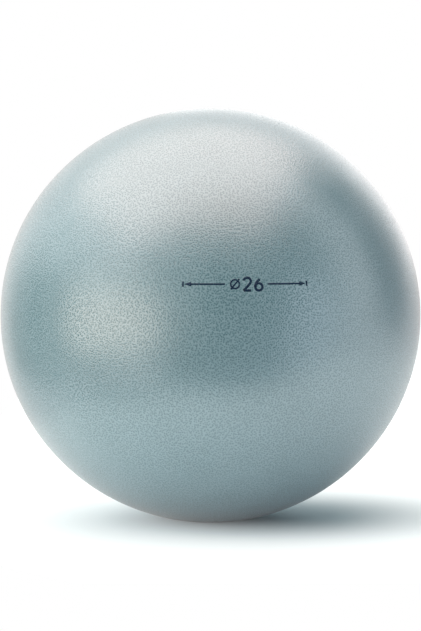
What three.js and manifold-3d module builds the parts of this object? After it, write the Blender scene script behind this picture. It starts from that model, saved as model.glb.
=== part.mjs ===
// A soft pilates ball: an air-filled vinyl skin that lies on a small flat patch under its own
// weight, with a rubbery valve seat let into its far side and a push-in plug that closes the valve.
// Millimetres, +Z up, the origin on the floor under the crown. The valve faces +Y.
import * as THREE from "three";
import { mergeVertices } from "three/addons/utils/BufferGeometryUtils.js";
import Module from "manifold-3d";

const wasm = await Module();
wasm.setup();

// The ball
const BALL_WIDTH = 260;
const BALL_HEIGHT = 255.2;
const FOOT_DIAMETER = 36;
const SKIN_WALL = 0.65;

// The valve plug
const PLUG_HEAD_DIAMETER = 11;
const PLUG_HEAD_THICKNESS = 1.8;
const PLUG_HEAD_EDGE_RADIUS = 0.6;
const PLUG_RIB_HEIGHT = 0.35;
const PLUG_RIB_COUNT = 3;
const PLUG_TIP_LENGTH = 3.2;
const PLUG_TIP_TAPER = 0.55;

// The valve seat
const BORE_DIAMETER = 5.2;
const BORE_LEAD_IN = 0.4;
const NECK_WALL = 2.4;
const NECK_LENGTH = 11;
const NECK_DRAFT = 0.5;
const CUP_WALL = 1.6;
const CUP_FLOOR = 1.8;
const RIM_WIDTH = 4.2;
const FLANGE_LAP = 5.5;
const FLANGE_THICKNESS = 1.2;

// Clearances
const SEAM_GAP = 0.3;
const PLUG_CLEARANCE = 0.12;
const NAIL_GAP = 0.7;

// How finely round forms are divided
const BALL_SEGMENTS = 60;
const LOWER_RINGS = 14;
const UPPER_RINGS = 15;
const VALVE_SEGMENTS = 32;
const DOME_STEPS = 4;
const RIB_STEPS = 4;
const EDGE_STEPS = 3;

// The ball is a slightly flattened sphere, cut off where it lies on its foot
const widestRadius = BALL_WIDTH / 2;
const footRadius = FOOT_DIAMETER / 2;
const footAngle = Math.asin(footRadius / widestRadius);
const polarRadius = BALL_HEIGHT / (1 + Math.cos(footAngle));
const centreHeight = BALL_HEIGHT - polarRadius;

// The middle of a facet lies this far inside the true curve, which bends both ways
const facetDip = 2 * widestRadius * (1 - Math.cos(Math.PI / BALL_SEGMENTS));

// The valve is built outwards from its plug and bore, and sunk from the ball's surface
const headRadius = PLUG_HEAD_DIAMETER / 2;
const recessRadius = headRadius + NAIL_GAP;
const recessDepth = PLUG_HEAD_THICKNESS + SEAM_GAP;
const cupRadius = recessRadius + CUP_WALL;
const cupDepth = recessDepth + CUP_FLOOR;
const faceRadius = recessRadius + RIM_WIDTH;
const flangeRadius = faceRadius + FLANGE_LAP;
const boreRadius = BORE_DIAMETER / 2;
const neckRadius = boreRadius + NECK_WALL;
const neckDepth = cupDepth + NECK_LENGTH;
const flangeTopOffset = SKIN_WALL + facetDip + SEAM_GAP;

const vinyl = new THREE.MeshStandardMaterial({ color: 0x8fb0b4, roughness: 0.5, metalness: 0 });
const seatVinyl = new THREE.MeshStandardMaterial({ color: 0x86a8ad, roughness: 0.4, metalness: 0 });
const plugPlastic = new THREE.MeshStandardMaterial({ color: 0xe9ecea, roughness: 0.4, metalness: 0 });

// A closed geometry as a solid for cutting, with the vertices that faces share merged.
function solidFrom(geometry) {
  const bare = geometry.clone();
  bare.deleteAttribute("normal");
  bare.deleteAttribute("uv");
  const merged = mergeVertices(bare);
  return new wasm.Manifold(
    new wasm.Mesh({
      numProp: 3,
      vertProperties: merged.attributes.position.array,
      triVerts: new Uint32Array(merged.index.array),
    }),
  );
}

function geometryFrom(solid) {
  const { vertProperties, triVerts } = solid.getMesh();
  const geometry = new THREE.BufferGeometry();
  geometry.setAttribute("position", new THREE.BufferAttribute(vertProperties, 3));
  geometry.setIndex(new THREE.BufferAttribute(triVerts, 1));
  geometry.computeVertexNormals();
  return geometry;
}

function namedMesh(name, geometry, material) {
  const mesh = new THREE.Mesh(geometry, material);
  mesh.name = name;
  return mesh;
}

// How far the ball's surface falls away at a distance from the valve's axis.
function skinFall(radius) {
  return widestRadius - Math.sqrt(widestRadius ** 2 - radius ** 2);
}

// The ball's outline from the middle of its foot to its crown, drawn in by inset all over.
function ballOutline(inset) {
  const across = widestRadius - inset;
  const up = polarRadius - inset;
  const start = Math.acos((centreHeight - inset) / up);
  const at = (angle) => new THREE.Vector2(across * Math.sin(angle), centreHeight - up * Math.cos(angle));
  const outline = [new THREE.Vector2(0, inset)];
  for (let ring = 0; ring < LOWER_RINGS; ring++) {
    outline.push(at(THREE.MathUtils.lerp(start, Math.PI / 2, ring / LOWER_RINGS)));
  }
  for (let ring = 0; ring < UPPER_RINGS; ring++) {
    outline.push(at(THREE.MathUtils.lerp(Math.PI / 2, Math.PI, ring / UPPER_RINGS)));
  }
  outline.push(new THREE.Vector2(0, centreHeight + up));
  return outline;
}

function ballSolid(inset) {
  return solidFrom(new THREE.LatheGeometry(ballOutline(inset), BALL_SEGMENTS).rotateX(Math.PI / 2));
}

// The skin: the outer form less the air space, with a round hole for the valve seat's face.
function makeSkin() {
  const holeRadius = faceRadius + SEAM_GAP;
  const hole = new THREE.CylinderGeometry(holeRadius, holeRadius, widestRadius, VALVE_SEGMENTS);
  hole.translate(0, widestRadius, centreHeight);
  const skin = ballSolid(0).subtract(ballSolid(SKIN_WALL)).subtract(solidFrom(hole));
  return namedMesh("ball_skin", geometryFrom(skin), vinyl);
}

// Points on the ball's curve, sunk by depth, between two distances from the valve's axis.
function domePoints(fromRadius, toRadius, depth) {
  const points = [];
  for (let step = 0; step <= DOME_STEPS; step++) {
    const radius = THREE.MathUtils.lerp(fromRadius, toRadius, step / DOME_STEPS);
    points.push(new THREE.Vector2(radius, -depth - skinFall(radius)));
  }
  return points;
}

// The valve seat, turned about the valve's axis: a neck that grips the plug, a cup for the plug's
// head, a smooth face flush with the skin, and a flange that is bonded behind the skin.
function makeSeat() {
  const profile = [
    new THREE.Vector2(boreRadius, -neckDepth),
    new THREE.Vector2(neckRadius - NECK_DRAFT, -neckDepth),
    new THREE.Vector2(neckRadius, -cupDepth),
    new THREE.Vector2(cupRadius, -cupDepth),
    ...domePoints(cupRadius, flangeRadius, flangeTopOffset + FLANGE_THICKNESS),
    ...domePoints(flangeRadius, faceRadius, flangeTopOffset),
    ...domePoints(faceRadius, recessRadius, 0),
    new THREE.Vector2(recessRadius, -recessDepth),
    new THREE.Vector2(boreRadius + BORE_LEAD_IN, -recessDepth),
    new THREE.Vector2(boreRadius, -recessDepth - BORE_LEAD_IN),
  ];
  profile.push(profile[0].clone());
  return namedMesh("valve_seat", new THREE.LatheGeometry(profile, VALVE_SEGMENTS), seatVinyl);
}

// One rounded rib on the plug's stem, as points from its lower edge to its upper edge.
function ribPoints(stemRadius, middle) {
  const points = [];
  for (let step = 0; step <= RIB_STEPS; step++) {
    const angle = Math.PI * (step / RIB_STEPS - 0.5);
    const radius = stemRadius + PLUG_RIB_HEIGHT * Math.cos(angle);
    points.push(new THREE.Vector2(radius, middle + PLUG_RIB_HEIGHT * Math.sin(angle)));
  }
  return points;
}

// The plug, turned about the valve's axis: a tapered tip past the neck, a ribbed stem in the bore,
// and a flat head that lies in the seat's cup, flush with the ball.
function makePlug() {
  const stemRadius = boreRadius - PLUG_CLEARANCE - PLUG_RIB_HEIGHT;
  const ribPitch = NECK_LENGTH / (PLUG_RIB_COUNT + 1);
  const profile = [
    new THREE.Vector2(0, -neckDepth - PLUG_TIP_LENGTH),
    new THREE.Vector2(stemRadius * PLUG_TIP_TAPER, -neckDepth - PLUG_TIP_LENGTH),
    new THREE.Vector2(stemRadius, -neckDepth),
  ];
  for (let rib = 1; rib <= PLUG_RIB_COUNT; rib++) {
    profile.push(...ribPoints(stemRadius, -neckDepth + rib * ribPitch));
  }
  profile.push(new THREE.Vector2(stemRadius, -PLUG_HEAD_THICKNESS));
  profile.push(new THREE.Vector2(headRadius, -PLUG_HEAD_THICKNESS));
  const edgeRadius = Math.min(PLUG_HEAD_EDGE_RADIUS, PLUG_HEAD_THICKNESS / 2);
  const crownRadius = headRadius - edgeRadius;
  for (let step = 0; step < EDGE_STEPS; step++) {
    const angle = (Math.PI / 2) * (step / EDGE_STEPS);
    const height = -skinFall(crownRadius) - edgeRadius * (1 - Math.sin(angle));
    profile.push(new THREE.Vector2(crownRadius + edgeRadius * Math.cos(angle), height));
  }
  profile.push(...domePoints(crownRadius, 0, 0));
  return namedMesh("valve_plug", new THREE.LatheGeometry(profile, VALVE_SEGMENTS), plugPlastic);
}

const valve = new THREE.Group();
valve.position.set(0, widestRadius, centreHeight);
valve.add(makeSeat(), makePlug());

const ball = new THREE.Group();
ball.add(makeSkin(), valve);

export default ball;
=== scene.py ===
"""The looks of a soft pilates ball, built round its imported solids.

Metres, +Z up, in the frame of the solids: the origin lies on the floor under the crown, the valve
faces +Y, and the camera looks along +Y at the side away from the valve.
"""

import math
from typing import NamedTuple

import bmesh
import bpy
from bpy.props import FloatProperty, FloatVectorProperty, IntProperty, PointerProperty
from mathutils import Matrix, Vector, noise


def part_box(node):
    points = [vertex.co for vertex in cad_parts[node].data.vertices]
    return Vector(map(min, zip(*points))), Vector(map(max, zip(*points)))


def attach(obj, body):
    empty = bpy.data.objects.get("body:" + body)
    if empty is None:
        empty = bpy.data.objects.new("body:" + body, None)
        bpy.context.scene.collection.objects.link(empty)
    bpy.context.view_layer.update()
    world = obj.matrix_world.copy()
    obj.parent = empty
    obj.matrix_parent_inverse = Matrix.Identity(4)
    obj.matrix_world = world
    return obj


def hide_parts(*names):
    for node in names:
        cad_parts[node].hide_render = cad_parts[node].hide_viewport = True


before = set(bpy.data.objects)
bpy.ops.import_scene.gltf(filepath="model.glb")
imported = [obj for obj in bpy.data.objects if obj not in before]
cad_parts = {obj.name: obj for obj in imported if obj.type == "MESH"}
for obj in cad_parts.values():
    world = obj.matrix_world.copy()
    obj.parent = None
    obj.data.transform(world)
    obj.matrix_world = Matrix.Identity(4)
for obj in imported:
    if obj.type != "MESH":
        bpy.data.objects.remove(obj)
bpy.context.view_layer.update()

bl_info = {
    "name": "Pilates Ball",
    "version": (1, 0, 0),
    "blender": (4, 5, 0),
    "location": "View3D > Sidebar > Pilates Ball",
    "description": "Builds a soft pilates ball with its valve, size mark and studio",
    "category": "Object",
}

MM = 0.001

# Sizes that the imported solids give
skin_low, skin_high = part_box("ball_skin")
seat_low, seat_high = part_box("valve_seat")
plug_low, plug_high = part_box("valve_plug")
BALL_WIDTH = skin_high.x - skin_low.x
BALL_HEIGHT = skin_high.z - skin_low.z
VALVE_HEIGHT = (seat_low.z + seat_high.z) / 2
FLANGE_WIDTH = seat_high.x - seat_low.x
SEAT_DEPTH = BALL_WIDTH / 2 - seat_low.y
PLUG_HEAD_WIDTH = plug_high.x - plug_low.x
PLUG_DEPTH = BALL_WIDTH / 2 - plug_low.y

# The photograph's height and the ball's width in it, in its pixels
PICTURE_HEIGHT = 631
BALL_WIDTH_PX = 420.0

# The skin's faces: rings across the mould line, in half-widths of the line, and how narrow a face may
# get against the spacing of the rings before a ring has half as many
SEAM_STEPS = (-3, -2, -1, -0.5, 0, 0.5, 1, 2, 3)
NARROWEST_FACE = 0.6

# How finely the valve's round forms are divided, and how much of a short edge a rounding may take
EDGE_STEPS = 4
DOME_STEPS = 5
RIB_STEPS = 8
ROUNDING_REACH = 0.45

# The pits of the grain lie on the six faces of a cube round the ball: how quickly one face gives way to
# the next, and how far opposite faces are shifted, in pits
CUBE_FACE_SHARPNESS = 30.0
CUBE_FACE_SHIFT = 517.0

# The grain: depths of the shallowest and deepest pits, noise and heights of the vinyl between them, and
# the average height, which sets the tone of the smooth skin by the mould line and the valve. The heights
# also darken the vinyl's colour as painted shade in the pits and low places of the grain
PIT_DEPTHS = (0.7, 1.0)
FINE_SCALE = 1.4
FINE_DETAIL = 1.0
FINE_HEIGHTS = (0.75, 1.0)
PLAIN_TONE = 0.69

# Noise values that count as lowest and highest, in a strong pattern and in a gentle one, and the noise's
# detail in clouds and in fine specks
STRONG_SPAN = (0.3, 0.7)
GENTLE_SPAN = (0.25, 0.75)
CLOUD_DETAIL = 3.0
SPECK_DETAIL = 2.0

# Broad clouds in the skin: their scale per metre, and what they add to or take from tone and roughness
CLOUD_SCALE = 28.0
CLOUD_TONE = 0.06
CLOUD_ROUGHNESS = 0.008

# The smooth moulded pieces: clouds in their vinyl or plastic, and a fine satin texture
MOULD_CLOUD_SCALE = 160.0
MOULD_CLOUD_SHADE = 0.88
MOULD_CLOUD_ROUGHNESS = 0.05
SATIN_SCALE = 2600.0
SATIN_DEPTH = 0.02 * MM
SATIN_STRENGTH = 0.6

# The ink: grain heights where it has worn off and where it covers, and its finish
INK_BARE = 0.02
INK_COVERS = 0.16
INK_SPECKLE_SCALE = 900.0
INK_ROUGHNESS = (0.42, 0.55)
INK_GLOSS = 0.25

# The size mark, in shares of the numerals' height
DIGIT_BOWL = 0.28
DIGIT_GAP = 0.34
SIX_SWEEP = 0.62
SIGN_RADIUS = 0.34
ARROW_LENGTH = 0.5

# Smaller forms of the size mark: slash and end bars in radii of the sign, an arrow head's width in its
# own lengths, its point's in widths of a line, and the space before an arrow in gaps between numerals
SLASH_REACH = 1.2
BAR_REACH = 0.6
ARROW_WIDTH = 0.75
ARROW_POINT = 0.25
ARROW_SPACE = 1.3

# The curves of the numerals, from and to these degrees, and how finely the mark is divided
TWO_HOOK = (170, -38)
SIX_STEM = (180, 112)
LINE_STEPS = 24
ARROW_STEPS = 8
ARC_STEPS = 28
CIRCLE_STEPS = 48

# A printed stroke has an upper and a lower vertex on either side at each point of its path, and these
# faces from one point to the next
STROKE_VERTICES = 4
STROKE_FACES = ((0, 2, 6, 4), (1, 5, 7, 3), (0, 4, 5, 1), (2, 3, 7, 6))


def length(name, description, default):
    return FloatProperty(
        name=name, description=description, default=default, unit="LENGTH", precision=5
    )


def share(name, description, default):
    return FloatProperty(
        name=name, description=description, default=default, min=0, max=1, subtype="FACTOR"
    )


def amount(name, description, default):
    return FloatProperty(name=name, description=description, default=default, min=0)


def count(name, description, default):
    return IntProperty(name=name, description=description, default=default, min=1)


def angle(name, description, degrees):
    return FloatProperty(
        name=name, description=description, default=math.radians(degrees), subtype="ANGLE"
    )


def colour(name, description, default):
    return FloatVectorProperty(
        name=name, description=description, default=default, size=3, min=0, max=1, subtype="COLOR"
    )


class SkinSettings(bpy.types.PropertyGroup):
    foot_width: length("Foot Width", "Flat patch that the ball rests on", 36 * MM)
    foot_blend: length("Foot Blend", "Height over which the skin curves into its foot", 0.5 * MM)
    wall: length("Wall", "Thickness of the skin", 0.65 * MM)
    hole_width: length("Valve Hole", "Hole in the skin for the valve seat", 21.4 * MM)
    swell_height: length("Swell Height", "Height of the skin's broad unevenness", 0.12 * MM)
    swell_pitch: length("Swell Pitch", "Spacing of the skin's broad unevenness", 70 * MM)
    seam_width: length("Seam Width", "Width of the mould line round the ball", 0.9 * MM)
    seam_height: length("Seam Height", "Height of the mould line", 0.1 * MM)
    grain_pitch: length("Grain Pitch", "Spacing of the pits in the grain", 1.3 * MM)
    grain_depth: length("Grain Depth", "Depth of the pits in the grain", 0.09 * MM)
    grain_flat: share("Grain Flat", "How far a pit's level bottom reaches from its middle", 0.08)
    grain_edge: share("Grain Edge", "How far a pit reaches from its middle", 0.52)
    grain_scatter: share("Grain Scatter", "How unevenly the pits are spaced", 0.96)
    grain_margin: length("Grain Margin", "Smooth border by the valve and the mould line", 2.2 * MM)
    colour: colour("Colour", "Vinyl between the pits of the grain", (0.1975, 0.329, 0.386))
    # Painted shade: the vinyl's colour in the pits of the grain is darkened to stand in for their shade.
    pit_colour: colour("Pit Colour", "Vinyl in the pits of the grain", (0.030, 0.127, 0.158))
    roughness: share("Roughness", "Roughness of the vinyl", 0.285)
    pearl_index: amount("Pearl Index", "Refractive index that makes the vinyl pearly", 2.33)
    sheen: share("Sheen", "Powdery sheen that pales the vinyl's edges", 0.28)
    sheen_roughness: share("Sheen Roughness", "How widely the powdery sheen spreads", 0.4)
    sheen_tint: colour("Sheen Tint", "Colour of the powdery sheen", (1.0, 0.82, 0.78))
    rings: count("Rings", "Rings of faces from the valve to the far side", 156)
    segments: count("Segments", "Faces round each ring", 240)


class ValveSettings(bpy.types.PropertyGroup):
    face_width: length("Face Width", "Smooth face of the valve seat", 20.8 * MM)
    recess_width: length("Recess Width", "Cup for the plug's head", 12.4 * MM)
    recess_depth: length("Recess Depth", "Depth of the cup for the plug's head", 2.1 * MM)
    cup_wall: length("Cup Wall", "Wall and floor of the cup", 1.7 * MM)
    flange_depth: length("Flange Depth", "Depth of the flange under the ball's surface", 1.3 * MM)
    flange_thickness: length("Flange Thickness", "Thickness of the flange", 1.2 * MM)
    bore_width: length("Bore Width", "Hole that grips the plug", 5.2 * MM)
    bore_lead_in: length("Bore Lead-In", "Bevel at the mouth of the bore", 0.4 * MM)
    neck_wall: length("Neck Wall", "Wall round the bore", 2.4 * MM)
    edge_radius: length("Edge Radius", "Rounding of the moulded edges", 0.3 * MM)
    head_thickness: length("Head Thickness", "Thickness of the plug's head", 1.8 * MM)
    head_radius: length("Head Rounding", "Rounding of the plug's head", 0.6 * MM)
    rib_height: length("Rib Height", "Height of the ribs on the plug's stem", 0.35 * MM)
    rib_count: count("Ribs", "Ribs on the plug's stem", 3)
    plug_clearance: length("Plug Clearance", "Gap round the ribs in the bore", 0.12 * MM)
    tip_length: length("Tip Length", "Tapered tip of the plug", 3.2 * MM)
    tip_taper: share("Tip Taper", "Width of the tip's end over the stem's", 0.55)
    gate_width: length("Gate Mark", "Moulding dimple in the middle of the plug's head", 2.2 * MM)
    gate_depth: length("Gate Depth", "Depth of the moulding dimple", 0.25 * MM)
    seat_colour: colour("Seat Colour", "Vinyl of the valve seat", (0.170, 0.255, 0.270))
    seat_roughness: share("Seat Roughness", "Roughness of the valve seat", 0.4)
    plug_colour: colour("Plug Colour", "Plastic of the plug", (0.54, 0.565, 0.565))
    plug_roughness: share("Plug Roughness", "Roughness of the plug", 0.38)
    segments: count("Segments", "Faces round the valve", 96)


class MarkSettings(bpy.types.PropertyGroup):
    place_x: length("Across", "How far right of the middle the mark is printed", 21 * MM)
    place_z: length("Up", "How far above the middle the mark is printed", 25 * MM)
    span: length("Span", "Width of the mark, from bar to bar", 74 * MM)
    digit_height: length("Digit Height", "Height of the numerals", 7.5 * MM)
    stroke: length("Stroke", "Width of the numerals' strokes", 1.45 * MM)
    line: length("Line", "Width of the other lines", 1.0 * MM)
    film: length("Film", "How far the ink stands off the skin", 0.04 * MM)
    ink: colour("Ink", "Colour of the printed ink", (0.001, 0.018, 0.050))


class StageSettings(bpy.types.PropertyGroup):
    camera_distance: length("Camera Distance", "From the ball's middle to the camera", 1.5)
    camera_lift: angle("Camera Lift", "How far the camera looks down", 3)
    background: amount("Background", "Light from the white surroundings, where they show", 1.0)
    ambient: amount("Ambient", "Soft light from the surroundings on the ball", 0.965)
    ambient_lean: share("Ambient Lean", "How much more of the soft light comes from the left", 0.69)
    ambient_back: share("Ambient Back", "How much more of the soft light comes from behind", 0.27)
    ambient_tint: colour("Ambient Tint", "Colour of the soft light from the left", (1.0, 0.94, 0.86))
    top_light: amount("Top Light", "Brightness of the softbox overhead", 1.84)
    left_light: amount("Left Light", "Brightness of the softbox on the left", 2.06)
    right_light: amount("Right Light", "Brightness of the softbox on the right", 1.05)
    rim_light: amount("Rim Light", "Brightness of the strip behind on the right", 1.2)
    warm: colour("Warm Light", "Colour of the softbox overhead", (1.0, 0.755, 0.67))
    window: colour("Window Light", "Colour of the softbox on the left", (1.0, 0.893, 0.785))
    cool: colour("Cool Light", "Colour of the softbox on the right", (0.81, 0.9, 1.0))
    floor_colour: colour("Floor", "Colour of the floor", (0.54, 0.645, 0.68))
    # Outside a painted shadow round the ball, this glow keeps the floor white.
    floor_glow: amount("Floor Glow", "Light that keeps the floor white outside the shade", 0.395)


class Board(NamedTuple):
    """A flat board that faces the ball: degrees round from the camera and up, then metres."""

    azimuth: float
    elevation: float
    distance: float
    width: float
    height: float


# The lamps of the studio
TOP_PLACE = Vector((-0.31, -0.1, 1.2))
TOP_WIDTH = 2.04
TOP_DEPTH = 1.95
LEFT_BOX = Board(azimuth=-52.5, elevation=-0.5, distance=1.2, width=1.2, height=0.6)
RIGHT_BOX = Board(azimuth=54.5, elevation=-2, distance=1.5, width=0.72, height=1.22)
RIM_STRIP = Board(azimuth=163.5, elevation=16.5, distance=1.4, width=1.02, height=0.66)

# Dark flags that show only in the ball's reflections: behind the camera, on both sides and low down
FLAGS = {
    "front_flag": Board(azimuth=18.8, elevation=9, distance=1.8, width=4.8, height=6.29),
    "left_flag": Board(azimuth=-81, elevation=-4.5, distance=1.75, width=5.4, height=1.3),
    "low_flag": Board(azimuth=-54, elevation=-39, distance=1.0, width=0.42, height=0.26),
    "right_flag": Board(azimuth=117.5, elevation=25.5, distance=1.75, width=0.96, height=2.0),
}
FLAG_COLOUR = (0.02, 0.02, 0.02)
WHITE = (1.0, 1.0, 1.0)

# The floor's corners, with the near left one cut off, and the middle and radii of the round painted
# shadow by the ball, where the floor's glow grows from nothing to its full strength
FLOOR_CORNERS = [(-0.19, 3.0), (-0.19, -0.09), (-0.07, -0.245), (0.48, -0.245), (0.48, 3.0)]
PAINTED_SHADOW_PLACE = Vector((0.06, 0.03, 0.0))
PAINTED_SHADOW_CORE = 0.02
PAINTED_SHADOW_EDGE = 0.146


class BallForm:
    """The curved surface of the ball: a slightly flattened sphere that lies on a flat foot."""

    def __init__(self, skin):
        self.skin = skin
        self.across = BALL_WIDTH / 2
        foot_angle = math.asin(skin.foot_width / BALL_WIDTH)
        self.up = BALL_HEIGHT / (1 + math.cos(foot_angle))
        self.centre = Vector((0, 0, BALL_HEIGHT - self.up))

    def point(self, direction, lift=0.0):
        """The surface in a unit direction from the ball's middle, lifted off it along its normal."""
        skin = self.skin
        base = Vector((direction.x, direction.y, direction.z * self.up / self.across)) * self.across
        normal = Vector((direction.x, direction.y, direction.z * self.across / self.up)).normalized()
        swell = skin.swell_height * noise.noise(direction * (self.across / skin.swell_pitch))
        ridge = skin.seam_height * math.exp(-((2 * base.y / skin.seam_width) ** 2))
        place = self.centre + base + normal * (lift + swell + ridge)
        place.z = smooth_max(place.z, max(0.0, -lift), skin.foot_blend)
        return place


def smooth_max(value, least, blend):
    """The larger of two numbers, with the corner between them rounded over blend."""
    mix = min(1.0, max(0.0, 0.5 + 0.5 * (value - least) / blend))
    return least + (value - least) * mix + blend * mix * (1 - mix)


def ring_direction(tilt, turn):
    """A unit vector tilted off the valve's axis and turned about it."""
    return Vector((math.sin(tilt) * math.cos(turn), math.cos(tilt), math.sin(tilt) * math.sin(turn)))


def add_piece(name, vertices, faces, material, body, slot, *nodes):
    """Makes a smooth-shaded piece that rides on a body and stands for the CAD nodes named."""
    mesh = bpy.data.meshes.new(name)
    mesh.from_pydata(vertices, [], faces)
    shaped = bmesh.new()
    shaped.from_mesh(mesh)
    bmesh.ops.recalc_face_normals(shaped, faces=shaped.faces)
    shaped.to_mesh(mesh)
    shaped.free()
    mesh.polygons.foreach_set("use_smooth", [True] * len(mesh.polygons))
    mesh.materials.append(material)
    piece = bpy.data.objects.new(name, mesh)
    bpy.context.scene.collection.objects.link(piece)
    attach(piece, body)
    if nodes:
        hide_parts(*nodes)


def skin_mesh(form, skin):
    """Vertices and faces of the skin: its outside, its inside and the edge of the valve hole."""
    hole_tilt = math.asin(skin.hole_width / BALL_WIDTH)
    half = skin.rings // 2
    seam_tilt = skin.seam_width / BALL_WIDTH
    near = math.pi / 2 - SEAM_STEPS[-1] * seam_tilt
    tilts = [hole_tilt + (near - hole_tilt) * ring / half for ring in range(half)]
    tilts += [math.pi / 2 + seam_tilt * step for step in SEAM_STEPS]
    tilts += [math.pi - near * (half - ring) / half for ring in range(1, half + 1)]
    counts = [segments_at(tilt, near / half, skin.segments) for tilt in tilts]
    vertices = []
    faces = []
    for lift in (0.0, -skin.wall):
        starts = []
        for tilt, around in zip(tilts, counts):
            starts.append(len(vertices))
            turns = [2 * math.pi * step / around for step in range(around)]
            vertices += [form.point(ring_direction(tilt, turn), lift) for turn in turns]
        rings = list(zip(starts, counts))
        for first, second in zip(rings, rings[1:]):
            faces += ring_faces(*first, *second)
    faces += ring_faces(len(vertices) // 2, counts[0], 0, counts[0])
    return vertices, faces


def segments_at(tilt, ring_pitch, most):
    """How many faces a ring has: fewer by halves towards the far side, where the rings grow small."""
    if tilt >= math.pi - ring_pitch / 2:
        return 1
    around = most
    if tilt > math.pi / 2:
        girth = 2 * math.pi * math.sin(tilt)
        while girth / around < NARROWEST_FACE * ring_pitch and around % 2 == 0:
            around //= 2
    return around


def ring_faces(first, first_count, second, second_count):
    """Faces between two rings of vertices; the second has as many, half as many, or a single point."""
    faces = []
    for step in range(first_count):
        here, ahead = first + step, first + (step + 1) % first_count
        if second_count == first_count:
            faces.append((here, ahead, second + (step + 1) % second_count, second + step))
        elif second_count == 1:
            faces.append((here, ahead, second))
        else:
            below = second + (step + 1) // 2 % second_count
            faces.append((here, ahead, below))
            if step % 2:
                faces.append((here, below, second + step // 2))
    return faces


def turned_mesh(profile, segments):
    """A profile of (radius, height over the ball's surface) pairs turned about the valve's axis."""
    vertices = []
    rings = []
    for radius, height in profile:
        around = segments if radius > 0 else 1
        rings.append((len(vertices), around))
        for step in range(around):
            turn = 2 * math.pi * step / segments
            across, up = radius * math.cos(turn), radius * math.sin(turn)
            vertices.append(Vector((across, BALL_WIDTH / 2 + height, VALVE_HEIGHT + up)))
    faces = []
    for first, second in zip(rings, rings[1:]):
        faces += ring_faces(*second, *first) if first[1] == 1 else ring_faces(*first, *second)
    if rings[0][1] == rings[-1][1] == segments:
        faces += ring_faces(*rings[-1], *rings[0])
    return vertices, faces


def rounded(corners):
    """A profile from (radius, height, rounding) corners, with an arc in place of each rounded one."""
    profile = []
    for index, (radius, height, rounding) in enumerate(corners):
        corner = Vector((radius, height))
        if rounding <= 0:
            profile.append((radius, height))
            continue
        before = Vector(corners[index - 1][:2]) - corner
        after = Vector(corners[(index + 1) % len(corners)][:2]) - corner
        reach = min(rounding, ROUNDING_REACH * before.length, ROUNDING_REACH * after.length)
        start = corner + before.normalized() * reach
        end = corner + after.normalized() * reach
        for step in range(EDGE_STEPS + 1):
            t = step / EDGE_STEPS
            bend = start * (1 - t) ** 2 + corner * 2 * t * (1 - t) + end * t**2
            profile.append((bend.x, bend.y))
    return profile


def skin_fall(radius):
    """How far the ball's surface falls away at a distance from the valve's axis."""
    across = BALL_WIDTH / 2
    return across - math.sqrt(across**2 - radius**2)


def domed(from_radius, to_radius, depth):
    """Corners on the ball's curve, sunk by depth, between two distances from the valve's axis."""
    span = to_radius - from_radius
    radii = [from_radius + span * step / DOME_STEPS for step in range(DOME_STEPS + 1)]
    return [(radius, -depth - skin_fall(radius), 0) for radius in radii]


def seat_profile(valve):
    """The seat's outline: bore, neck, cup, flange behind the skin, and face with its recess."""
    bore = valve.bore_width / 2
    neck = bore + valve.neck_wall
    recess = valve.recess_width / 2
    cup = recess + valve.cup_wall
    cup_depth = valve.recess_depth + valve.cup_wall
    face = valve.face_width / 2
    flange = FLANGE_WIDTH / 2
    edge = valve.edge_radius
    corners = [
        (bore, -SEAT_DEPTH, edge),
        (neck - edge, -SEAT_DEPTH, edge),
        (neck, -cup_depth, 2 * edge),
        (cup, -cup_depth, 2 * edge),
        *domed(cup, flange, valve.flange_depth + valve.flange_thickness),
        *domed(flange, face, valve.flange_depth),
        (face, -skin_fall(face), edge),
        *domed(face - edge, recess + edge, 0),
        (recess, -skin_fall(recess), edge),
        (recess, -valve.recess_depth, edge),
        (bore + valve.bore_lead_in, -valve.recess_depth, edge),
        (bore, -valve.recess_depth - valve.bore_lead_in, edge),
    ]
    return rounded(corners)


def rib_corners(valve, stem, middle):
    """Corners of one rounded rib on the plug's stem, from its lower edge to its upper edge."""
    corners = []
    for step in range(RIB_STEPS + 1):
        turn = math.pi * (step / RIB_STEPS - 0.5)
        radius = stem + valve.rib_height * math.cos(turn)
        corners.append((radius, middle + valve.rib_height * math.sin(turn), 0))
    return corners


def plug_profile(valve):
    """The plug's outline from its tip, up the ribbed stem, round the head and in to the gate mark."""
    stem = valve.bore_width / 2 - valve.plug_clearance - valve.rib_height
    head = PLUG_HEAD_WIDTH / 2
    gate = valve.gate_width / 2
    edge = valve.edge_radius
    neck_length = SEAT_DEPTH - valve.recess_depth - valve.cup_wall
    corners = [
        (0, -PLUG_DEPTH, 0),
        (stem * valve.tip_taper, -PLUG_DEPTH, edge),
        (stem, -PLUG_DEPTH + valve.tip_length, edge),
    ]
    for rib in range(1, valve.rib_count + 1):
        corners += rib_corners(valve, stem, -SEAT_DEPTH + rib * neck_length / (valve.rib_count + 1))
    corners += [
        (stem, -valve.head_thickness, edge),
        (head, -valve.head_thickness, edge),
        (head, -skin_fall(head), valve.head_radius),
        *domed(head - valve.head_radius, gate, 0),
        (gate / 2, -valve.gate_depth, 0),
        (0, -valve.gate_depth, 0),
    ]
    return rounded(corners)


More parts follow.
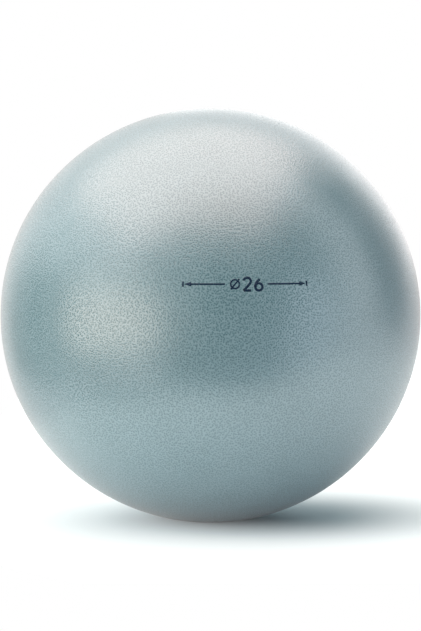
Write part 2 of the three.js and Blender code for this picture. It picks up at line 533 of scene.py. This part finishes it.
class InkPlate:
    """Collects printed strokes as thin plates that hug the ball."""

    def __init__(self, form, mark):
        self.form = form
        self.mark = mark
        self.vertices = []
        self.faces = []

    def place(self, x, z, lift):
        """A point of the print, given across and up from its middle, on the camera's side."""
        turn = (self.mark.place_x + x) / self.form.across
        tilt = (self.mark.place_z + z) / self.form.across
        level = math.cos(tilt)
        direction = Vector((math.sin(turn) * level, -math.cos(turn) * level, math.sin(tilt)))
        return self.form.point(direction, lift)

    def stroke(self, path, widths):
        """A plate along a path of (x, z) points, as wide as the widths say at each point."""
        first = len(self.vertices)
        last = first + STROKE_VERTICES * (len(path) - 1)
        for index, (point, width) in enumerate(zip(path, widths)):
            here = Vector(point)
            ahead = Vector(path[min(index + 1, len(path) - 1)]) - here
            behind = here - Vector(path[max(index - 1, 0)])
            along = (ahead.normalized() + behind.normalized()).normalized()
            side = Vector((-along.y, along.x)) * (width / 2)
            for edge in (here + side, here - side):
                self.vertices.append(self.place(edge.x, edge.y, self.mark.film))
                self.vertices.append(self.place(edge.x, edge.y, -self.mark.film))
        for base in range(first, last, STROKE_VERTICES):
            self.faces += [tuple(base + corner for corner in face) for face in STROKE_FACES]
        self.faces.append((first, first + 1, first + 3, first + 2))
        self.faces.append((last, last + 2, last + 3, last + 1))

    def even_stroke(self, path, width):
        self.stroke(path, [width] * len(path))

    def line(self, start, end, start_width, end_width, steps=LINE_STEPS):
        shares = [step / steps for step in range(steps + 1)]
        path = [tuple(Vector(start).lerp(Vector(end), t)) for t in shares]
        self.stroke(path, [start_width + (end_width - start_width) * t for t in shares])


def arc(centre, radius, start, end, steps=ARC_STEPS):
    """Points of an arc, with angles in degrees counted anticlockwise from the right."""
    turns = [math.radians(start + (end - start) * step / steps) for step in range(steps + 1)]
    x, z = centre
    return [(x + radius * math.cos(turn), z + radius * math.sin(turn)) for turn in turns]


def circle(centre, radius):
    return arc(centre, radius, 0, 360, CIRCLE_STEPS)


def print_mark(ink, mark):
    """A plain size mark: a diameter sign and the width in centimetres, with arrows to two bars."""
    high = mark.digit_height
    bowl = DIGIT_BOWL * high
    gap = DIGIT_GAP * high
    ring = SIGN_RADIUS * high
    half = ring + gap + 2 * bowl
    sign_x = -half + ring
    two_x = sign_x + ring + gap + bowl
    six_x = two_x + 2 * bowl + gap
    print_sign(ink, mark, sign_x, ring)
    print_two(ink, mark, two_x, bowl)
    print_six(ink, mark, six_x, bowl)
    for side in (-1, 1):
        print_arrow(ink, mark, side, half + ARROW_SPACE * gap, BAR_REACH * ring)


def print_sign(ink, mark, x, ring):
    """The diameter sign: a ring with a slash through it."""
    reach = SLASH_REACH * ring
    ink.even_stroke(circle((x, 0), ring), mark.line)
    ink.line((x - ring, -reach), (x + ring, reach), mark.line, mark.line)


def print_two(ink, mark, x, bowl):
    """The numeral 2, with its corner given twice so that it stays sharp."""
    foot = -mark.digit_height / 2
    hook = arc((x, mark.digit_height / 2 - bowl), bowl, *TWO_HOOK)
    corner = (x - bowl, foot)
    ink.even_stroke([*hook, corner, corner, (x + bowl, foot)], mark.stroke)


def print_six(ink, mark, x, bowl):
    """The numeral 6: a closed bowl, and a stem that sweeps up from its left side."""
    bowl_z = -mark.digit_height / 2 + bowl
    sweep = SIX_SWEEP * mark.digit_height
    ink.even_stroke(circle((x, bowl_z), bowl), mark.stroke)
    ink.even_stroke(arc((x - bowl + sweep, bowl_z), sweep, *SIX_STEM), mark.stroke)


def print_arrow(ink, mark, side, start, bar):
    """An arrow from beside the sign or the numerals out to a short bar at the mark's end."""
    end = mark.span / 2
    tip = end - mark.line
    head = ARROW_LENGTH * mark.digit_height
    neck = (side * (tip - head), 0)
    ink.line((side * end, -bar), (side * end, bar), mark.line, mark.line)
    ink.line((side * tip, 0), neck, mark.line * ARROW_POINT, head * ARROW_WIDTH, ARROW_STEPS)
    ink.line(neck, (side * start, 0), mark.line, mark.line)


def add_node(tree, kind, inputs=None, **attributes):
    """Adds a shader node, sets its options, and sets or links its inputs."""
    node = tree.nodes.new(kind)
    for name, value in attributes.items():
        setattr(node, name, value)
    for name, value in (inputs or {}).items():
        if isinstance(value, bpy.types.NodeSocket):
            tree.links.new(value, node.inputs[name])
        else:
            node.inputs[name].default_value = value
    return node


def maths(tree, operation, first, second=0.0):
    return add_node(tree, "ShaderNodeMath", {0: first, 1: second}, operation=operation).outputs[0]


def vector_maths(tree, operation, first, second=(0, 0, 0), output="Vector"):
    inputs = {0: first, 1: second}
    return add_node(tree, "ShaderNodeVectorMath", inputs, operation=operation).outputs[output]


def split_axes(tree, vector):
    return add_node(tree, "ShaderNodeSeparateXYZ", {"Vector": vector}).outputs


def noise_pattern(tree, place, scale, detail):
    inputs = {"Vector": place, "Scale": scale, "Detail": detail}
    return add_node(tree, "ShaderNodeTexNoise", inputs).outputs["Fac"]


def remap(tree, value, low, high, to_low=0.0, to_high=1.0):
    """A value carried smoothly from one range to another, and held at its ends."""
    ends = {"From Min": low, "From Max": high, "To Min": to_low, "To Max": to_high}
    inputs = {"Value": value, **ends}
    node = add_node(tree, "ShaderNodeMapRange", inputs, interpolation_type="SMOOTHSTEP")
    return node.outputs["Result"]


def blend_colours(tree, factor, first, second):
    inputs = {"Factor": factor, "A": first, "B": second}
    return add_node(tree, "ShaderNodeMix", inputs, data_type="RGBA").outputs["Result"]


def add_bump(tree, shader, height, depth, strength=1.0):
    inputs = {"Strength": strength, "Distance": depth, "Height": height}
    bump = add_node(tree, "ShaderNodeBump", inputs)
    tree.links.new(bump.outputs["Normal"], shader.inputs["Normal"])


def rgba(colour_value):
    return (*colour_value, 1.0)


def principled_material(name):
    """A new node material and its Principled shader."""
    material = bpy.data.materials.new(name)
    material.use_nodes = True
    return material, material.node_tree, material.node_tree.nodes["Principled BSDF"]


def moulded_grain(tree, skin):
    """Height of the moulded grain, from 0 in the deepest pits to 1, and the coordinates it uses."""
    place = add_node(tree, "ShaderNodeTexCoord").outputs["Object"]
    pits = cube_pits(tree, skin, place)
    fine = noise_pattern(tree, place, FINE_SCALE / skin.grain_pitch, FINE_DETAIL)
    between = remap(tree, fine, *STRONG_SPAN, *FINE_HEIGHTS)
    height = maths(tree, "MULTIPLY", between, maths(tree, "SUBTRACT", 1.0, pits))
    return height, place


def cube_pits(tree, skin, place):
    """Depth of the pits, laid out on a cube round the ball so that they are evenly spaced."""
    form = BallForm(skin)
    from_middle = vector_maths(tree, "SUBTRACT", place, form.centre)
    outward = vector_maths(tree, "NORMALIZE", from_middle)
    axes = split_axes(tree, outward)
    depth = 0.0
    total = 0.0
    for facing, across, up in (("X", "Y", "Z"), ("Y", "Z", "X"), ("Z", "X", "Y")):
        nearness = maths(tree, "ABSOLUTE", axes[facing])
        weight = maths(tree, "POWER", nearness, CUBE_FACE_SHARPNESS)
        spread = maths(tree, "SQRT", maths(tree, "DIVIDE", 2.0, maths(tree, "ADD", nearness, 1.0)))
        scale = maths(tree, "MULTIPLY", spread, form.across / skin.grain_pitch)
        shift = maths(tree, "MULTIPLY", maths(tree, "SIGN", axes[facing]), CUBE_FACE_SHIFT)
        flat = {
            "X": maths(tree, "ADD", maths(tree, "MULTIPLY", axes[across], scale), shift),
            "Y": maths(tree, "MULTIPLY", axes[up], scale),
        }
        pit = scattered_pits(tree, skin, add_node(tree, "ShaderNodeCombineXYZ", flat).outputs[0])
        depth = maths(tree, "ADD", depth, maths(tree, "MULTIPLY", pit, weight))
        total = maths(tree, "ADD", total, weight)
    return maths(tree, "DIVIDE", depth, total)


def scattered_pits(tree, skin, flat):
    """Depth of the pits on one flat face: round hollows, unevenly spaced and not all as deep."""
    inputs = {"Vector": flat, "Scale": 1.0, "Randomness": skin.grain_scatter}
    spots = add_node(tree, "ShaderNodeTexVoronoi", inputs, voronoi_dimensions="2D").outputs
    hollow = remap(tree, spots["Distance"], skin.grain_flat, skin.grain_edge, 1.0, 0.0)
    chance = add_node(tree, "ShaderNodeSeparateColor", {"Color": spots["Color"]}).outputs["Red"]
    return maths(tree, "MULTIPLY", hollow, remap(tree, chance, 0.0, 1.0, *PIT_DEPTHS))


def grain_cover(tree, skin, place):
    """1 where the skin is grained, falling to 0 along the mould line and round the valve."""
    axes = split_axes(tree, place)
    from_seam = maths(tree, "ABSOLUTE", axes["Y"])
    seam_edge = skin.seam_width / 2
    clear_of_seam = remap(tree, from_seam, seam_edge, seam_edge + skin.grain_margin)
    rise = maths(tree, "SUBTRACT", axes["Z"], VALVE_HEIGHT)
    squares = maths(tree, "ADD", maths(tree, "POWER", axes["X"], 2.0), maths(tree, "POWER", rise, 2.0))
    collar_edge = skin.hole_width / 2 + skin.grain_margin
    off_axis = remap(tree, maths(tree, "SQRT", squares), collar_edge, collar_edge + skin.grain_margin)
    in_front = maths(tree, "LESS_THAN", axes["Y"], 0.0)
    clear_of_valve = maths(tree, "MAXIMUM", off_axis, in_front)
    return maths(tree, "MULTIPLY", clear_of_seam, clear_of_valve)


def vinyl_material(skin):
    """Pearly vinyl with a moulded grain that fades out by the mould line and the valve, and painted
    shade in the grain's pits and low places.
    """
    material, tree, shader = principled_material("pebbled_vinyl")
    height, place = moulded_grain(tree, skin)
    shows = grain_cover(tree, skin, place)
    cloud = noise_pattern(tree, place, CLOUD_SCALE, CLOUD_DETAIL)
    # Painted shade: the grain's height darkens the colour in the pits and low places, standing in for
    # the relief's shade.
    grained = maths(tree, "MULTIPLY", maths(tree, "SUBTRACT", height, PLAIN_TONE), shows)
    clouded = remap(tree, cloud, *STRONG_SPAN, -CLOUD_TONE, CLOUD_TONE)
    tone = maths(tree, "ADD", maths(tree, "ADD", grained, PLAIN_TONE), clouded)
    vinyl = blend_colours(tree, tone, rgba(skin.pit_colour), rgba(skin.colour))
    tree.links.new(vinyl, shader.inputs["Base Color"])
    least, most = skin.roughness - CLOUD_ROUGHNESS, skin.roughness + CLOUD_ROUGHNESS
    tree.links.new(remap(tree, cloud, *GENTLE_SPAN, least, most), shader.inputs["Roughness"])
    shader.inputs["IOR"].default_value = skin.pearl_index
    shader.inputs["Sheen Weight"].default_value = skin.sheen
    shader.inputs["Sheen Roughness"].default_value = skin.sheen_roughness
    shader.inputs["Sheen Tint"].default_value = rgba(skin.sheen_tint)
    add_bump(tree, shader, maths(tree, "MULTIPLY", height, shows), skin.grain_depth)
    return material


def ink_material(skin, mark):
    """Printed ink that lies over the grain and wears thin in its pits, where the painted pit shade of
    the vinyl shows.
    """
    material, tree, shader = principled_material("printed_ink")
    height, place = moulded_grain(tree, skin)
    covered = remap(tree, height, INK_BARE, INK_COVERS)
    # The ink wears thin in the pits, and there the vinyl's painted pit shade shows through.
    worn = blend_colours(tree, covered, rgba(skin.pit_colour), rgba(mark.ink))
    tree.links.new(worn, shader.inputs["Base Color"])
    speckle = noise_pattern(tree, place, INK_SPECKLE_SCALE, SPECK_DETAIL)
    tree.links.new(remap(tree, speckle, *STRONG_SPAN, *INK_ROUGHNESS), shader.inputs["Roughness"])
    shader.inputs["Specular IOR Level"].default_value = INK_GLOSS
    add_bump(tree, shader, height, skin.grain_depth)
    return material


def moulded_material(name, base, roughness):
    """Smooth moulded vinyl or plastic with faint clouds in its colour and a fine satin texture."""
    material, tree, shader = principled_material(name)
    place = add_node(tree, "ShaderNodeTexCoord").outputs["Object"]
    cloud = noise_pattern(tree, place, MOULD_CLOUD_SCALE, CLOUD_DETAIL)
    darker = [channel * MOULD_CLOUD_SHADE for channel in base]
    clouded = blend_colours(tree, remap(tree, cloud, *STRONG_SPAN), rgba(darker), rgba(base))
    tree.links.new(clouded, shader.inputs["Base Color"])
    least, most = roughness - MOULD_CLOUD_ROUGHNESS, roughness + MOULD_CLOUD_ROUGHNESS
    tree.links.new(remap(tree, cloud, *STRONG_SPAN, least, most), shader.inputs["Roughness"])
    satin = noise_pattern(tree, place, SATIN_SCALE, SPECK_DETAIL)
    add_bump(tree, shader, satin, SATIN_DEPTH, SATIN_STRENGTH)
    return material


def ball_direction(azimuth, elevation):
    """A unit vector from the ball, by degrees to the right of the camera and above level."""
    turn, lift = math.radians(azimuth), math.radians(elevation)
    level = math.cos(lift)
    return Vector((math.sin(turn) * level, -math.cos(turn) * level, math.sin(lift)))


def face_ball(holder, away, distance, aim):
    """Puts a lamp, flag or camera off the ball in a direction, and turns it to the ball."""
    holder.location = aim + away * distance
    holder.rotation_euler = away.to_track_quat("Z", "Y").to_euler()


def place_board(holder, board, aim):
    face_ball(holder, ball_direction(board.azimuth, board.elevation), board.distance, aim)


def softbox(name, width, height, brightness, tint=WHITE):
    """An area lamp whose face is as bright as it is told to be, whatever its size."""
    lamp = bpy.data.lights.new(name, "AREA")
    lamp.shape = "RECTANGLE"
    lamp.size = width
    lamp.size_y = height
    lamp.energy = brightness * math.pi * width * height
    lamp.color = tint
    holder = bpy.data.objects.new(name, lamp)
    holder.visible_camera = False
    bpy.context.scene.collection.objects.link(holder)
    return holder


def stage_sheet(name, corners, material):
    """A flat sheet of the stage with the corners given."""
    mesh = bpy.data.meshes.new(name)
    mesh.from_pydata([(x, y, 0) for x, y in corners], [], [tuple(range(len(corners)))])
    mesh.materials.append(material)
    sheet = bpy.data.objects.new(name, mesh)
    bpy.context.scene.collection.objects.link(sheet)
    return sheet


def seen_rays(tree):
    """1 for rays that show the background: from the camera, in reflections and through glass."""
    path = add_node(tree, "ShaderNodeLightPath").outputs
    mirrored = maths(tree, "ADD", path["Is Glossy Ray"], path["Is Transmission Ray"])
    both = {0: path["Is Camera Ray"], 1: mirrored}
    return add_node(tree, "ShaderNodeMath", both, operation="ADD", use_clamp=True).outputs[0]


def floor_material(stage):
    """A pale floor that shows white where the lamps reach it and keeps the ball's shadow, and whose glow
    fades out in a painted shadow round the ball.
    """
    material = bpy.data.materials.new("pale_floor")
    material.use_nodes = True
    tree = material.node_tree
    tree.nodes.remove(tree.nodes["Principled BSDF"])
    matte = add_node(tree, "ShaderNodeBsdfDiffuse", {"Color": rgba(stage.floor_colour)}).outputs[0]
    place = add_node(tree, "ShaderNodeNewGeometry").outputs["Position"]
    # Painted shadow: the floor's glow fades to nothing in a round patch beside the ball's foot,
    # darkening the floor there.
    from_painted_shadow = vector_maths(tree, "DISTANCE", place, PAINTED_SHADOW_PLACE, "Value")
    fade = remap(tree, from_painted_shadow, PAINTED_SHADOW_CORE, PAINTED_SHADOW_EDGE, 0.0, stage.floor_glow)
    level = maths(tree, "MULTIPLY", seen_rays(tree), fade)
    glow = add_node(tree, "ShaderNodeEmission", {"Strength": level}).outputs[0]
    both = add_node(tree, "ShaderNodeAddShader", {0: matte, 1: glow}).outputs[0]
    tree.links.new(both, tree.nodes["Material Output"].inputs["Surface"])
    return material


def flag_material():
    """Dull black cloth for the studio's flags."""
    material, _, shader = principled_material("flag_cloth")
    shader.inputs["Base Color"].default_value = rgba(FLAG_COLOUR)
    shader.inputs["Roughness"].default_value = 1.0
    shader.inputs["Specular IOR Level"].default_value = 0.0
    return material


def white_surroundings(stage):
    """A world that shows white, and lights the ball softly, most of all from the left and behind."""
    world = bpy.data.worlds.new("white_surroundings")
    world.use_nodes = True
    tree = world.node_tree
    shader = tree.nodes["Background"]
    toward = add_node(tree, "ShaderNodeTexCoord").outputs["Generated"]
    slope = Vector((-stage.ambient_lean, stage.ambient_back, 0)) * stage.ambient
    soft = maths(tree, "ADD", vector_maths(tree, "DOT_PRODUCT", toward, slope, "Value"), stage.ambient)
    seen = seen_rays(tree)
    levels = {"Factor": seen, "A": soft, "B": stage.background}
    level = add_node(tree, "ShaderNodeMix", levels, data_type="FLOAT").outputs["Result"]
    tree.links.new(level, shader.inputs["Strength"])
    right = split_axes(tree, toward)["X"]
    tint = blend_colours(tree, remap(tree, right, -1.0, 1.0), rgba(stage.ambient_tint), rgba(WHITE))
    tree.links.new(blend_colours(tree, seen, tint, rgba(WHITE)), shader.inputs["Color"])
    return world


class PILATES_OT_skin(bpy.types.Operator):
    """Builds the grained skin with its foot, mould line and valve hole"""

    bl_idname = "pilates_ball.skin"
    bl_label = "Ball Skin"

    def execute(self, context):
        skin = context.scene.ball_skin
        material = vinyl_material(skin)
        vertices, faces = skin_mesh(BallForm(skin), skin)
        add_piece("grained_skin", vertices, faces, material, "ball", "ball_vinyl", "ball_skin")
        return {"FINISHED"}


class PILATES_OT_seat(bpy.types.Operator):
    """Builds the valve seat, moulded flush into the skin"""

    bl_idname = "pilates_ball.seat"
    bl_label = "Valve Seat"

    def execute(self, context):
        valve = context.scene.ball_valve
        material = moulded_material("seat_vinyl", valve.seat_colour, valve.seat_roughness)
        vertices, faces = turned_mesh(seat_profile(valve), valve.segments)
        add_piece("moulded_seat", vertices, faces, material, "ball", "seat_vinyl", "valve_seat")
        return {"FINISHED"}


class PILATES_OT_plug(bpy.types.Operator):
    """Builds the push-in plug with its ribbed stem"""

    bl_idname = "pilates_ball.plug"
    bl_label = "Valve Plug"

    def execute(self, context):
        valve = context.scene.ball_valve
        material = moulded_material("plug_plastic", valve.plug_colour, valve.plug_roughness)
        vertices, faces = turned_mesh(plug_profile(valve), valve.segments)
        add_piece("ribbed_plug", vertices, faces, material, "plug", "plug_plastic", "valve_plug")
        return {"FINISHED"}


class PILATES_OT_mark(bpy.types.Operator):
    """Prints a plain size mark on the side that faces the camera"""

    bl_idname = "pilates_ball.mark"
    bl_label = "Size Mark"

    def execute(self, context):
        scene = context.scene
        ink = InkPlate(BallForm(scene.ball_skin), scene.ball_mark)
        print_mark(ink, scene.ball_mark)
        material = ink_material(scene.ball_skin, scene.ball_mark)
        add_piece("size_mark", ink.vertices, ink.faces, material, "ball", "ball_vinyl")
        return {"FINISHED"}


class PILATES_OT_stage(bpy.types.Operator):
    """Sets the camera, lamps, flags, pale floor and white surroundings"""

    bl_idname = "pilates_ball.stage"
    bl_label = "Studio"

    def execute(self, context):
        scene = context.scene
        stage = scene.ball_stage
        aim = BallForm(scene.ball_skin).centre
        self.add_camera(scene, stage, aim)
        self.add_lamps(stage, aim)
        scene.world = white_surroundings(stage)
        stage_sheet("floor", FLOOR_CORNERS, floor_material(stage))
        self.add_flags(aim)
        scene.view_settings.view_transform = "Standard"
        return {"FINISHED"}

    def add_camera(self, scene, stage, aim):
        camera = bpy.data.cameras.new("camera")
        holder = bpy.data.objects.new("camera", camera)
        away = ball_direction(0, math.degrees(stage.camera_lift))
        face_ball(holder, away, stage.camera_distance, aim)
        radius = BALL_WIDTH / 2
        outline = radius / math.sqrt(stage.camera_distance**2 - radius**2)
        focal_px = BALL_WIDTH_PX / 2 / outline
        camera.lens = camera.sensor_width * focal_px / PICTURE_HEIGHT
        scene.collection.objects.link(holder)
        scene.camera = holder

    def add_lamps(self, stage, aim):
        top = softbox("top_softbox", TOP_WIDTH, TOP_DEPTH, stage.top_light, stage.warm)
        top.location = aim + TOP_PLACE
        width, height = LEFT_BOX.width, LEFT_BOX.height
        left = softbox("left_softbox", width, height, stage.left_light, stage.window)
        place_board(left, LEFT_BOX, aim)
        width, height = RIGHT_BOX.width, RIGHT_BOX.height
        right = softbox("right_softbox", width, height, stage.right_light, stage.cool)
        place_board(right, RIGHT_BOX, aim)
        width, height = RIM_STRIP.width, RIM_STRIP.height
        rim = softbox("rim_strip", width, height, stage.rim_light)
        place_board(rim, RIM_STRIP, aim)

    def add_flags(self, aim):
        cloth = flag_material()
        for name, board in FLAGS.items():
            x, y = board.width / 2, board.height / 2
            flag = stage_sheet(name, [(-x, -y), (x, -y), (x, y), (-x, y)], cloth)
            place_board(flag, board, aim)
            flag.visible_camera = False
            flag.visible_diffuse = False
            flag.visible_shadow = False


class PILATES_PT_panel(bpy.types.Panel):
    bl_idname = "PILATES_PT_panel"
    bl_label = "Pilates Ball"
    bl_space_type = "VIEW_3D"
    bl_region_type = "UI"
    bl_category = "Pilates Ball"

    def draw(self, context):
        for operator in OPERATORS:
            self.layout.operator(operator.bl_idname)


SETTINGS = {
    "ball_skin": SkinSettings,
    "ball_valve": ValveSettings,
    "ball_mark": MarkSettings,
    "ball_stage": StageSettings,
}
OPERATORS = (PILATES_OT_skin, PILATES_OT_seat, PILATES_OT_plug, PILATES_OT_mark, PILATES_OT_stage)
CLASSES = (*SETTINGS.values(), *OPERATORS, PILATES_PT_panel)


def register():
    for cls in CLASSES:
        bpy.utils.register_class(cls)
    for name, settings in SETTINGS.items():
        setattr(bpy.types.Scene, name, PointerProperty(type=settings))


def unregister():
    for name in SETTINGS:
        delattr(bpy.types.Scene, name)
    for cls in reversed(CLASSES):
        bpy.utils.unregister_class(cls)


def main():
    register()
    bpy.ops.pilates_ball.skin()
    bpy.ops.pilates_ball.seat()
    bpy.ops.pilates_ball.plug()
    bpy.ops.pilates_ball.mark()
    bpy.ops.pilates_ball.stage()


if __name__ == "__main__":
    main()
